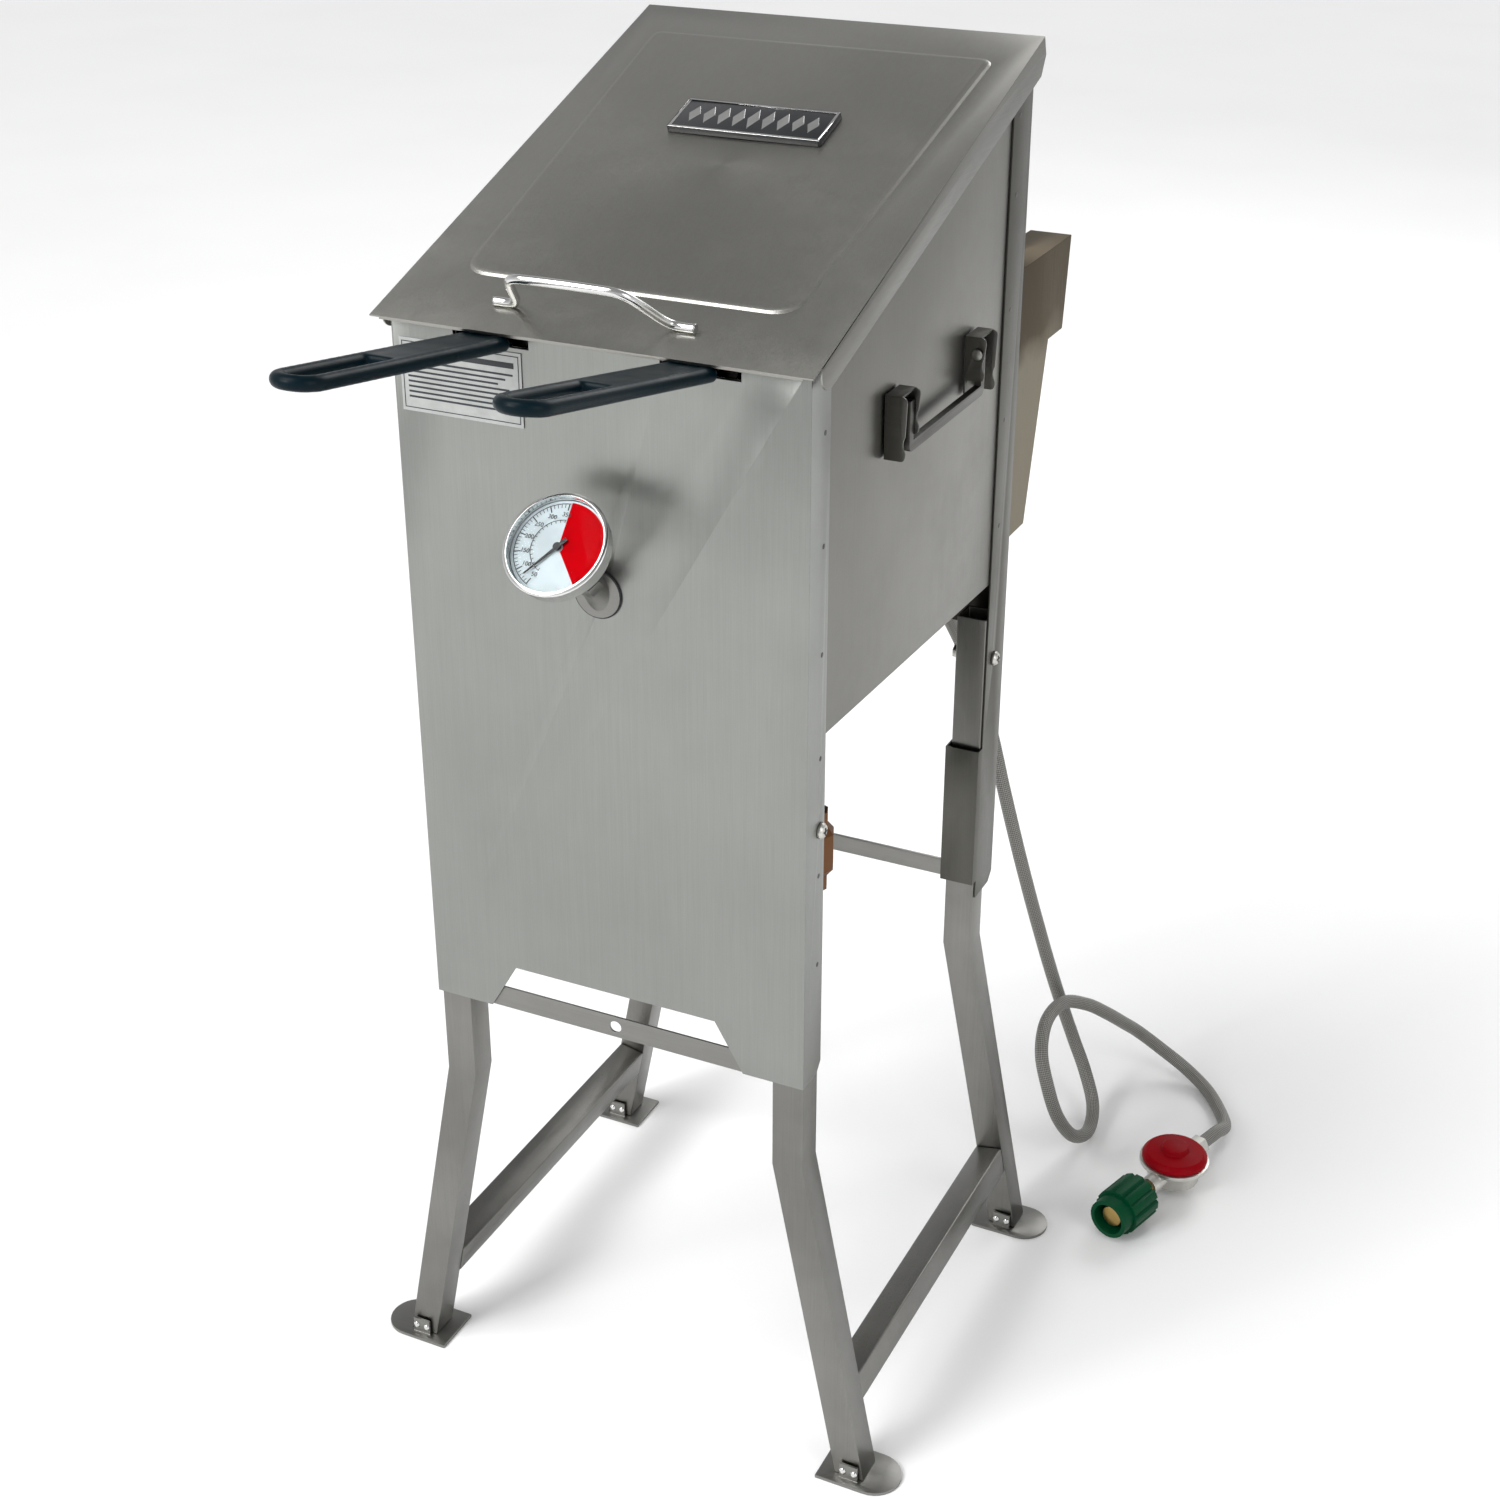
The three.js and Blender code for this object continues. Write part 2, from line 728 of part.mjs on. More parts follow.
add("thermometer_case", thermometerCase(), chrome, thermometer);
add("thermometer_dial", turned([[0, 72.4], [35, 72.4], [35, 73.6], [0, 73.6]], 40), white, thermometer);
add("thermometer_pointer", pointer(), black, thermometer);
add("thermometer_glass", turned([[0, 78], [35, 78], [35, 79.4], [0, 79.4]], 40), glass, thermometer);
add("drain_pipe", drainPipe(), zinc);
add("drain_valve", drainValve(), brass);
add("drain_lever", drainLever(), zinc);
add("burner_head", burnerHead(), castIron);
add("burner_tube", burnerTube(), castIron);
add("air_shutter", airShutter(), zinc);
add("orifice_fitting", orificeFitting(), brass);
add("gas_hose", pipe(hoseRoute, hoseDiameter / 2, 88, 10), zinc);
add("regulator_body", regulatorBody(), zinc, regulator);
add("regulator_cap", regulatorCap(), red, regulator);
add("tank_nipple", tankNipple(), brass, regulator);
add("tank_nut", tankNut(), green, regulator);

const part = new THREE.Group();
part.name = "outdoor_gas_fryer";
part.add(fryer);
export default part;
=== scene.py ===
"""Looks for the outdoor gas fryer: materials, fine pieces, hose, floor, light and camera."""
import math

import bmesh
import bpy
from mathutils import Euler, Matrix, Vector


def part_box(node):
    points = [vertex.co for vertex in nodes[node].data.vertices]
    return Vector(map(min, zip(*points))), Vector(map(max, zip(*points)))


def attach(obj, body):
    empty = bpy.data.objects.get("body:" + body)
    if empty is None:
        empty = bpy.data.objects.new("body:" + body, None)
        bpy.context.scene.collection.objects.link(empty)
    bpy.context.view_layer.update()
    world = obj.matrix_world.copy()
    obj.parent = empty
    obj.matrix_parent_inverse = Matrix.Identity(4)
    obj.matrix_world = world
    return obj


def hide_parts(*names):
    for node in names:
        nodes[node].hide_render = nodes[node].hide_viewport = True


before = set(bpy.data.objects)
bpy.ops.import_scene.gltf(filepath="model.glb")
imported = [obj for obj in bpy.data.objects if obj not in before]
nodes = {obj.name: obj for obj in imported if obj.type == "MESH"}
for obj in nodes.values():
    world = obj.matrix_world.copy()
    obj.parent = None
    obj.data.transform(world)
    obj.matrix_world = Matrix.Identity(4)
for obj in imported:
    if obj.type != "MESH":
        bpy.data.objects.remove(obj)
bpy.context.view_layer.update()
scene = bpy.context.scene
MM = 0.001
FRONT_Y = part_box("front_panel")[0][1]
BODY = "fryer_body"


def at(x, y, z):
    """A point given in mm from the middle of the front panel's face at floor level, in the row frame."""
    return Vector((x * MM, FRONT_Y + y * MM, z * MM))


# Camera -----------------------------------------------------------------------------------------
CAMERA_PLACE = (741.9, -1302.7, 1380.3)
CAMERA_YAW = 25.66
CAMERA_PITCH = 26.88
camera_data = bpy.data.cameras.new("camera")
camera_data.sensor_width = 36.0
camera_data.lens = 55.53
camera_data.clip_end = 60.0
camera = bpy.data.objects.new("camera", camera_data)
camera.location = at(*CAMERA_PLACE)
camera.rotation_euler = Euler((math.radians(90 - CAMERA_PITCH), 0, math.radians(CAMERA_YAW)))
scene.collection.objects.link(camera)
scene.camera = camera


# Mesh helpers -----------------------------------------------------------------------------------
def new_object(name, mesh, body, material):
    """A piece that rides on a body and takes the given material."""
    piece = bpy.data.objects.new(name, mesh)
    scene.collection.objects.link(piece)
    piece.data.materials.append(material)
    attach(piece, body)
    return piece


def spline(points, per_span=8):
    """Points along a centripetal Catmull-Rom curve through the given points."""
    ends = [points[0] * 2 - points[1], *points, points[-1] * 2 - points[-2]]
    made = []
    for a, b, c, d in zip(ends, ends[1:], ends[2:], ends[3:]):
        t0, t1 = 0.0, (b - a).length ** 0.5
        t2 = t1 + (c - b).length ** 0.5
        t3 = t2 + (d - c).length ** 0.5
        for i in range(per_span):
            t = t1 + (t2 - t1) * i / per_span
            ab = a * ((t1 - t) / (t1 - t0)) + b * ((t - t0) / (t1 - t0))
            bc = b * ((t2 - t) / (t2 - t1)) + c * ((t - t1) / (t2 - t1))
            cd = c * ((t3 - t) / (t3 - t2)) + d * ((t - t2) / (t3 - t2))
            abc = ab * ((t2 - t) / (t2 - t0)) + bc * ((t - t0) / (t2 - t0))
            bcd = bc * ((t3 - t) / (t3 - t1)) + cd * ((t - t1) / (t3 - t1))
            made.append(abc * ((t2 - t) / (t2 - t1)) + bcd * ((t - t1) / (t2 - t1)))
    made.append(points[-1].copy())
    return made


def mesh_from(bm, name):
    """The mesh of a finished bmesh, with every face turned outwards."""
    bmesh.ops.recalc_face_normals(bm, faces=bm.faces)
    mesh = bpy.data.meshes.new(name)
    bm.to_mesh(mesh)
    bm.free()
    return mesh


def tube(name, points, radius, sides=20, closed=False):
    """A round tube along points, with U along it in metres and V round it from 0 to 1."""
    bm = bmesh.new()
    uv = bm.loops.layers.uv.new("UVMap")
    count = len(points)
    tangents = []
    for i in range(count):
        before = points[i - 1] if closed or i else points[i]
        after = points[(i + 1) % count] if closed or i < count - 1 else points[i]
        tangents.append((after - before).normalized())
    up = Vector((0, 0, 1)) if abs(tangents[0].z) < 0.9 else Vector((1, 0, 0))
    side = tangents[0].cross(up).normalized()
    rings, runs, run = [], [], 0.0
    for i, (point, along) in enumerate(zip(points, tangents)):
        side = (side - along * side.dot(along)).normalized()
        over = along.cross(side)
        ring = []
        for k in range(sides):
            angle = 2 * math.pi * k / sides
            ring.append(bm.verts.new(point + radius * (side * math.cos(angle) + over * math.sin(angle))))
        rings.append(ring)
        if i:
            run += (point - points[i - 1]).length
        runs.append(run)
    spans = count if closed else count - 1
    for i in range(spans):
        j = (i + 1) % count
        for k in range(sides):
            m = (k + 1) % sides
            face = bm.faces.new((rings[i][k], rings[i][m], rings[j][m], rings[j][k]))
            face.smooth = True
            far = runs[j] if j else run + (points[0] - points[-1]).length
            corners = ((runs[i], k), (runs[i], k + 1), (far, k + 1), (far, k))
            for loop, (u, v) in zip(face.loops, corners):
                loop[uv].uv = (u, v / sides)
    if not closed:
        bm.faces.new(rings[0][::-1])
        bm.faces.new(rings[-1])
    return mesh_from(bm, name)


def turned(name, profile, place, axis, segments=32):
    """A profile of (radius, height) pairs in mm turned about axis, standing at place."""
    bm = bmesh.new()
    turn = Vector((0, 0, 1)).rotation_difference(Vector(axis)).to_matrix()
    rings = []
    for radius, height in profile:
        if radius == 0:
            rings.append([bm.verts.new(place + turn @ Vector((0, 0, height * MM)))])
            continue
        ring = []
        for k in range(segments):
            angle = 2 * math.pi * k / segments
            offset = Vector((radius * math.cos(angle), radius * math.sin(angle), height)) * MM
            ring.append(bm.verts.new(place + turn @ offset))
        rings.append(ring)
    for low, high in zip(rings, rings[1:]):
        for k in range(segments):
            m = (k + 1) % segments
            corners = [low[k % len(low)], low[m % len(low)], high[m % len(high)], high[k % len(high)]]
            bm.faces.new(list(dict.fromkeys(corners))).smooth = True
    if len(rings[0]) > 1:
        bm.faces.new(rings[0])
    if len(rings[-1]) > 1:
        bm.faces.new(rings[-1])
    return mesh_from(bm, name)


def prisms(name, outlines, place, across, up, thickness):
    """Flat closed outlines in mm on the plane of across and up, each thickness mm deep towards its back."""
    bm = bmesh.new()
    across, up = Vector(across), Vector(up)
    out = across.cross(up)
    for points in outlines:
        front = [bm.verts.new(place + (across * a + up * b) * MM) for a, b in points]
        back = [bm.verts.new(v.co - out * thickness * MM) for v in front]
        bm.faces.new(front)
        bm.faces.new(back[::-1])
        for i in range(len(points)):
            j = (i + 1) % len(points)
            bm.faces.new((front[j], front[i], back[i], back[j]))
    return mesh_from(bm, name)


def bar(a0, a1, b0, b1):
    """The outline of a rectangle from a0 to a1 across and b0 to b1 up."""
    return [(a0, b0), (a1, b0), (a1, b1), (a0, b1)]


# Materials --------------------------------------------------------------------------------------
class Nodes:
    """Short calls for building a material's node tree."""

    def __init__(self, name):
        self.material = bpy.data.materials.new(name)
        self.material.use_nodes = True
        self.tree = self.material.node_tree
        self.shader = self.tree.nodes["Principled BSDF"]
        self.place = self.add("ShaderNodeTexCoord")

    def add(self, kind, **values):
        node = self.tree.nodes.new(kind)
        for key, value in values.items():
            setattr(node, key, value)
        return node

    def link(self, source, target):
        self.tree.links.new(source, target)

    def set(self, **values):
        for key, value in values.items():
            self.shader.inputs[key.replace("_", " ")].default_value = value

    def noise(self, scale, detail=3.0, stretch=(1, 1, 1), rough=0.55):
        node = self.add("ShaderNodeTexNoise")
        node.inputs["Scale"].default_value = scale
        node.inputs["Detail"].default_value = detail
        node.inputs["Roughness"].default_value = rough
        mapping = self.add("ShaderNodeMapping")
        mapping.inputs["Scale"].default_value = stretch
        self.link(self.place.outputs["Object"], mapping.inputs["Vector"])
        self.link(mapping.outputs["Vector"], node.inputs["Vector"])
        return node.outputs["Fac"]

    def ramp(self, value, stops):
        """A colour ramp of (position, colour) stops, where a plain number is a grey."""
        node = self.add("ShaderNodeValToRGB")
        elements = node.color_ramp.elements
        while len(elements) < len(stops):
            elements.new(0.5)
        for element, (position, color) in zip(elements, stops):
            shade = color if isinstance(color, tuple) else (color, color, color)
            element.position = position
            element.color = (*shade, 1.0)
        self.link(value, node.inputs["Fac"])
        return node.outputs["Color"]

    def spread(self, value, low, high, out_low, out_high):
        """The value's range from low to high, laid out from out_low to out_high."""
        node = self.add("ShaderNodeMapRange")
        ends = {"From Min": low, "From Max": high, "To Min": out_low, "To Max": out_high}
        for key, number in ends.items():
            node.inputs[key].default_value = number
        self.link(value, node.inputs["Value"])
        return node.outputs["Result"]

    def mix(self, factor, first, second, blend="MIX"):
        node = self.add("ShaderNodeMix", data_type="RGBA", blend_type=blend)
        for socket, value in ((node.inputs[0], factor), (node.inputs[6], first), (node.inputs[7], second)):
            if isinstance(value, bpy.types.NodeSocket):
                self.link(value, socket)
            elif isinstance(value, tuple):
                socket.default_value = (*value, 1.0)
            else:
                socket.default_value = value
        return node.outputs[2]

    def math(self, operation, first, second=0.0):
        node = self.add("ShaderNodeMath", operation=operation)
        for socket, value in ((node.inputs[0], first), (node.inputs[1], second)):
            if isinstance(value, bpy.types.NodeSocket):
                self.link(value, socket)
            else:
                socket.default_value = value
        return node.outputs[0]

    def bump(self, height, strength, distance):
        """A bump on top of any bump that the shader already has."""
        node = self.add("ShaderNodeBump")
        node.inputs["Strength"].default_value = strength
        node.inputs["Distance"].default_value = distance
        self.link(height, node.inputs["Height"])
        previous = self.shader.inputs["Normal"].links
        if previous:
            self.link(previous[0].from_socket, node.inputs["Normal"])
        self.link(node.outputs["Normal"], self.shader.inputs["Normal"])


# Noise scales that draw the grain out along one axis.
GRAIN = {"x": (0.6, 60, 60), "y": (60, 0.6, 60), "z": (60, 60, 0.6)}
BRAID_ALONG = 260
BRAID_ROUND = 12


def brushed(name, color, roughness, grain="z", worn=0.12, smudge=0.25, painted_side_shade=1.0):
    """Stainless sheet: fine grain one way, broad cloudiness and faint smudges.

    The last argument paints shade: it darkens the faces that look sideways, such as the lid's side flanges.
    """
    n = Nodes(name)
    n.set(Metallic=1.0, Anisotropic=0.35)
    fine = n.noise(28.0, 4.0, GRAIN[grain], 0.7)
    streak = n.noise(6.0, 3.0, GRAIN[grain], 0.6)
    cloud = n.noise(5.5, 4.0, (1, 1, 1), 0.6)
    dark = tuple(c * (1 - worn) for c in color)
    light = tuple(min(1.0, c * (1 + worn)) for c in color)
    base = n.ramp(cloud, [(0.3, dark), (0.7, light)])
    lines = n.ramp(fine, [(0.3, 0.86), (0.7, 1.0)])
    base = n.mix(0.8, base, lines, "MULTIPLY")
    bands = n.ramp(streak, [(0.35, 0.95), (0.65, 1.0)])
    base = n.mix(0.6, base, bands, "MULTIPLY")
    # Painted shade: faces that look sideways get a darker base colour.
    if painted_side_shade < 1.0:
        facing = n.add("ShaderNodeSeparateXYZ")
        n.link(n.place.outputs["Normal"], facing.inputs[0])
        painted_side_shade_mask = n.spread(n.math("ABSOLUTE", facing.outputs["X"]), 0.6, 0.9, 0.0, 1.0)
        base = n.mix(painted_side_shade_mask, base, n.mix(1.0, base, (painted_side_shade, painted_side_shade, painted_side_shade), "MULTIPLY"))
    n.link(base, n.shader.inputs["Base Color"])
    smears = n.noise(14.0, 5.0, (1, 1, 1), 0.7)
    rough = n.math("ADD", n.spread(fine, 0.3, 0.7, roughness - 0.04, roughness + 0.06),
                   n.spread(smears, 0.45, 0.75, 0.0, smudge * 0.3))
    n.link(rough, n.shader.inputs["Roughness"])
    n.bump(fine, 0.18, 0.0002)
    n.bump(cloud, 0.25, 0.0012)
    return n.material


def plain_metal(name, color, roughness, grit=60.0, metallic=1.0, depth=0.15):
    """Cast, plated or drawn metal with a fine even grit."""
    n = Nodes(name)
    n.set(Metallic=metallic)
    spots = n.noise(grit, 4.0)
    base = n.ramp(spots, [(0.3, tuple(c * 0.8 for c in color)), (0.7, color)])
    n.link(base, n.shader.inputs["Base Color"])
    n.link(n.spread(spots, 0.3, 0.7, roughness, roughness + 0.12), n.shader.inputs["Roughness"])
    n.bump(spots, depth, 0.0003)
    return n.material


def moulded(name, color, roughness, grit=420.0, coat=0.0, shine=0.5):
    """Plastic, paint, vinyl or ink, a little worn in patches."""
    n = Nodes(name)
    n.set(Metallic=0.0, Coat_Weight=coat, Coat_Roughness=0.12, Specular_IOR_Level=shine)
    grain = n.noise(grit, 3.0)
    wear = n.noise(26.0, 3.0)
    base = n.ramp(wear, [(0.3, tuple(c * 0.72 for c in color)), (0.7, color)])
    n.link(base, n.shader.inputs["Base Color"])
    n.link(n.spread(wear, 0.3, 0.7, roughness - 0.05, roughness + 0.08), n.shader.inputs["Roughness"])
    n.bump(grain, 0.08, 0.0002)
    return n.material


def heat_tinted(name, steel, low_tone, low, high):
    """Stainless that changes from one colour above a height to another below it, blended from low to high in
    metres.
    """
    n = Nodes(name)
    n.set(Metallic=1.0, Specular_Tint=(0.6, 0.56, 0.5, 1))
    split = n.add("ShaderNodeSeparateXYZ")
    n.link(n.place.outputs["Object"], split.inputs[0])
    cloud = n.noise(9.0, 4.0)
    fine = n.noise(28.0, 4.0, GRAIN["z"], 0.7)
    height = n.math("ADD", split.outputs["Z"], n.spread(cloud, 0.2, 0.8, -0.05, 0.05))
    amount = n.spread(height, low, high, 1.0, 0.0)
    base = n.mix(amount, steel, low_tone)
    base = n.mix(0.8, base, n.ramp(fine, [(0.3, 0.85), (0.7, 1.0)]), "MULTIPLY")
    n.link(base, n.shader.inputs["Base Color"])
    n.link(n.spread(fine, 0.3, 0.7, 0.3, 0.44), n.shader.inputs["Roughness"])
    n.bump(fine, 0.15, 0.0002)
    return n.material


def braid(name):
    """Woven stainless wire over a hose: two crossing helices of fine strands."""
    n = Nodes(name)
    n.set(Metallic=0.9)
    split = n.add("ShaderNodeSeparateXYZ")
    n.link(n.place.outputs["UV"], split.inputs[0])
    run = n.math("MULTIPLY", split.outputs["X"], 2 * math.pi * BRAID_ALONG)
    turn = n.math("MULTIPLY", split.outputs["Y"], 2 * math.pi * BRAID_ROUND)
    one = n.math("SINE", n.math("ADD", run, turn))
    two = n.math("SINE", n.math("SUBTRACT", run, turn))
    weave = n.math("MULTIPLY", one, two)
    strands = [(0.1, (0.10, 0.098, 0.09)), (0.75, (0.32, 0.315, 0.295))]
    base = n.ramp(n.spread(weave, -1, 1, 0, 1), strands)
    n.link(base, n.shader.inputs["Base Color"])
    n.link(n.spread(weave, -1, 1, 0.55, 0.32), n.shader.inputs["Roughness"])
    n.bump(weave, 0.5, 0.0006)
    return n.material


def clear(name):
    """Thin clear glass that hardly bends the light."""
    n = Nodes(name)
    n.set(Base_Color=(1, 1, 1, 1), IOR=1.05, Transmission_Weight=1.0)
    haze = n.noise(40.0, 2.0)
    n.link(n.spread(haze, 0.3, 0.7, 0.0, 0.01), n.shader.inputs["Roughness"])
    return n.material


steel_front = brushed("steel_front", (0.30, 0.308, 0.292), 0.33, "z", 0.05)
steel_side = brushed("steel_side", (0.225, 0.222, 0.206), 0.33, "z", 0.06)
# The lid's side flanges get painted shade from the last argument.
steel_lid = brushed("steel_lid", (0.35, 0.345, 0.32), 0.33, "y", 0.05, painted_side_shade=0.55)
steel_plain = brushed("steel_plain", (0.25, 0.247, 0.235), 0.34, "x", 0.12)
steel_dark = brushed("steel_dark", (0.10, 0.098, 0.09), 0.34, "x", 0.2)
# Painted shade: the rear posts get a much darker copy of the stainless, for the shade under the pot.
steel_post_painted_shade = brushed("steel_post_painted_shade", (0.11, 0.108, 0.096), 0.33, "z", 0.12)
steel_tube = brushed("steel_tube", (0.215, 0.212, 0.20), 0.3, "z", 0.2)
# Flue ducts: darker above 0.83 m, blending to a lighter, browner tone below 0.79 m.
steel_flue = heat_tinted("steel_flue", (0.095, 0.085, 0.073), (0.26, 0.245, 0.21), 0.79, 0.83)
# Painted shade: the rear plate darkens towards the bottom, near black where it sits in shade under the pot.
steel_painted_shade_low = heat_tinted("steel_painted_shade_low", (0.10, 0.09, 0.08), (0.03, 0.027, 0.025), 0.58, 0.80)
zinc = plain_metal("zinc", (0.62, 0.61, 0.57), 0.28)
chrome = plain_metal("chrome", (0.78, 0.78, 0.77), 0.1, 30.0, depth=0.03)
brass = plain_metal("brass", (0.50, 0.34, 0.12), 0.28, 50.0)
# Drain valve brass: darkened partly for its own dark reddish-brown tone and partly as painted shade, as the
# valve sits partly in shade.
brass_dark_with_painted_shade = plain_metal("brass_dark_with_painted_shade", (0.16, 0.075, 0.035), 0.38, 70.0)
iron = plain_metal("iron", (0.05, 0.048, 0.045), 0.6, 180.0, 0.5, 0.6)
grip_skin = moulded("grip_skin", (0.001, 0.009, 0.014), 0.34, 120.0, 0.0, 0.1)
black_gloss = moulded("black_gloss", (0.012, 0.013, 0.016), 0.28, 300.0, 0.3)
black_paint = moulded("black_paint", (0.01, 0.01, 0.011), 0.4)
cap_red = moulded("cap_red", (0.29, 0.0, 0.005), 0.4, 240.0, 0.0, 0.06)
nut_green = moulded("nut_green", (0.0, 0.06, 0.022), 0.4, 240.0, 0.0, 0.1)
dial_white = moulded("dial_white", (0.70, 0.82, 0.86), 0.45, 600.0)
dial_red = moulded("dial_red", (0.56, 0.0, 0.003), 0.6, 600.0, shine=0.02)
ink = moulded("ink", (0.02, 0.025, 0.03), 0.5, 600.0)
foil = plain_metal("foil", (0.46, 0.47, 0.46), 0.42, 90.0, 0.6, 0.05)
label_red = moulded("label_red", (0.5, 0.05, 0.03), 0.45, 600.0)
hose_braid = braid("hose_braid")
glass = clear("glass")


# CAD nodes: edges, smoothing and materials ------------------------------------------------------
SHALLOW = math.radians(35)
WELD_GAP = 0.02


def smoothing_group():
    """Geometry nodes that shade smooth across shallow edges."""
    tree = bpy.data.node_groups.new("smooth_shallow_edges", "GeometryNodeTree")
    tree.interface.new_socket("Geometry", in_out="INPUT", socket_type="NodeSocketGeometry")
    tree.interface.new_socket("Geometry", in_out="OUTPUT", socket_type="NodeSocketGeometry")
    start = tree.nodes.new("NodeGroupInput")
    end = tree.nodes.new("NodeGroupOutput")
    faces = tree.nodes.new("GeometryNodeSetShadeSmooth")
    faces.domain = "FACE"
    edges = tree.nodes.new("GeometryNodeSetShadeSmooth")
    edges.domain = "EDGE"
    angle = tree.nodes.new("GeometryNodeInputMeshEdgeAngle")
    compare = tree.nodes.new("FunctionNodeCompare")
    compare.data_type = "FLOAT"
    compare.operation = "LESS_EQUAL"
    compare.inputs[1].default_value = SHALLOW
    tree.links.new(angle.outputs["Unsigned Angle"], compare.inputs[0])
    tree.links.new(compare.outputs[0], edges.inputs["Shade Smooth"])
    tree.links.new(start.outputs[0], faces.inputs["Geometry"])
    tree.links.new(faces.outputs[0], edges.inputs["Geometry"])
    tree.links.new(edges.outputs[0], end.inputs[0])
    return tree


SMOOTHING = smoothing_group()


def finish_edges(piece, width, segments=2):
    """Rounds a piece's sharp edges by width in mm and shades it smooth."""
    weld = piece.modifiers.new("weld", "WELD")
    weld.merge_threshold = WELD_GAP * MM
    if width:
        bevel = piece.modifiers.new("edges", "BEVEL")
        bevel.width = width * MM
        bevel.segments = segments
        bevel.limit_method = "ANGLE"
        bevel.angle_limit = SHALLOW
    smooth = piece.modifiers.new("smooth", "NODES")
    smooth.node_group = SMOOTHING


def dress(name, material, width=0.35, segments=2):
    """Gives a CAD node its material and its edges."""
    piece = nodes[name]
    mesh = piece.data
    if "custom_normal" in mesh.attributes:
        mesh.attributes.remove(mesh.attributes["custom_normal"])
    if not mesh.materials:
        mesh.materials.append(material)
    for slot in piece.material_slots:
        slot.material = material
    finish_edges(piece, width, segments)


SIDES = {"left": -1, "right": 1}
dress("front_panel", steel_front, 0.5)
dress("pot", steel_side)
dress("front_cross_bar", steel_plain)
dress("rear_cross_bar", steel_plain)
dress("rear_plate", steel_painted_shade_low)
for side in SIDES:
    dress(f"side_panel_{side}", steel_side)
    dress(f"rear_post_{side}", steel_post_painted_shade)
    dress(f"flue_duct_{side}", steel_flue, 0.5)
    dress(f"side_brace_{side}", steel_tube, 1.2, 3)
    for end in ("front", "rear"):
        dress(f"{end}_leg_{side}", steel_tube, 0.7, 3)
        dress(f"{end}_foot_{side}", steel_plain, 0.8)
        dress(f"{end}_leg_bolt_{side}", zinc, 0.3)
        dress(f"handle_bracket_{end}_{side}", steel_dark, 0.5)
    dress(f"carry_handle_{side}", steel_dark, 1.0, 3)
    dress(f"basket_handle_{side}", chrome, 0.5)
dress("lid", steel_lid, 0.45, 2)
dress("lid_badge", black_gloss, 0.6)
dress("info_label", foil, 0)
dress("thermometer_mount", steel_plain, 0.4)
dress("thermometer_stem", zinc, 0)
dress("thermometer_case", chrome, 0.5)
dress("thermometer_dial", dial_white, 0)
dress("thermometer_pointer", black_paint, 0)
dress("thermometer_glass", glass, 0)
dress("drain_pipe", steel_dark, 0)
dress("drain_valve", brass_dark_with_painted_shade, 0.5)
dress("drain_lever", zinc, 0.6)
dress("burner_head", iron, 1.0)
dress("burner_tube", iron, 0.5)
dress("air_shutter", zinc, 0.6)
dress("orifice_fitting", brass, 0.4)
dress("regulator_body", zinc, 0.6)
dress("regulator_cap", cap_red, 0.8, 3)
dress("tank_nipple", brass, 0.5)
dress("tank_nut", nut_green, 0.8, 3)


# Gas hose: hoseRoute of part.mjs, in mm ---------------------------------------------------------
HOSE_DIAMETER = 13 * MM
HOSE_ROUTE = [
    (0, 484.6, 570), (0, 512, 570), (3, 538, 566), (14, 561, 552), (34, 575, 526), (58, 575, 490),
    (82, 566, 450), (102, 555, 408), (119, 547, 360), (139, 547, 291), (155, 562, 216), (173, 576, 142),
    (192, 594, 68), (208, 589, 36), (226, 564, 15), (233, 527, 10), (228, 493, 26), (217, 474, 57),
    (206, 472, 89), (193, 486, 117), (187, 516, 134), (192, 552, 135), (207, 581, 120), (221, 607, 98),
    (232, 632, 75), (243, 656, 52), (264, 669, 30), (292, 667, 15), (319, 650, 8), (340, 622, 7),
    (353, 593, 11), (351.5, 563, 22.4), (343.7, 536, 24),
]
hose_line = spline([at(*point) for point in HOSE_ROUTE], 10)
hose_mesh = tube("braided_hose", hose_line, HOSE_DIAMETER / 2)
hose = new_object("braided_hose", hose_mesh, BODY, hose_braid)
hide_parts("gas_hose")


# Lid handle, replaced by a rounder rod ----------------------------------------------------------
LID_TILT = math.radians(19.2)
LID_FRONT = at(0, -14.8, 928.1)
UP_SLOPE = Vector((0, math.cos(LID_TILT), math.sin(LID_TILT)))
OFF_LID = Vector((0, -math.sin(LID_TILT), math.cos(LID_TILT)))


def on_lid(x, along, out):
    """A point x mm across the lid, along mm up its slope and out mm off its sheet."""
    return LID_FRONT + Vector((x * MM, 0, 0)) + UP_SLOPE * along * MM + OFF_LID * out * MM


HANDLE_RADIUS = 3.2
HANDLE_LEAN = math.radians(57)
HANDLE_X = -6
HANDLE_FEET = 30
half_arch = [(-77, 0), (-66, 0), (-60, 2), (-56, 8), (-48, 33), (-44, 42), (-37, 47), (-24, 48.5)]
arch = half_arch + [(-x, u) for x, u in reversed(half_arch)]
arch_line = [on_lid(HANDLE_X + x, HANDLE_FEET - u * math.cos(HANDLE_LEAN),
                    HANDLE_RADIUS + 0.3 + u * math.sin(HANDLE_LEAN)) for x, u in arch]
rod_mesh = tube("lid_handle_rod", spline(arch_line), HANDLE_RADIUS * MM)
lid_rod = new_object("lid_handle_rod", rod_mesh, "lid", chrome)
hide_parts("lid_handle")


# Basket grips: a bent wire with a web, dipped in vinyl -------------------------------------------
GRIP_X = 78
GRIP_START = (2.5, 918)
GRIP_TILT = {"left": math.radians(9.1), "right": math.radians(10.9)}
GRIP_TIP = 236
WIRE = 5.4
LOOP = 19.5 - WIRE
WEB_HALF = 4.7
FINGER_HOLE = 82


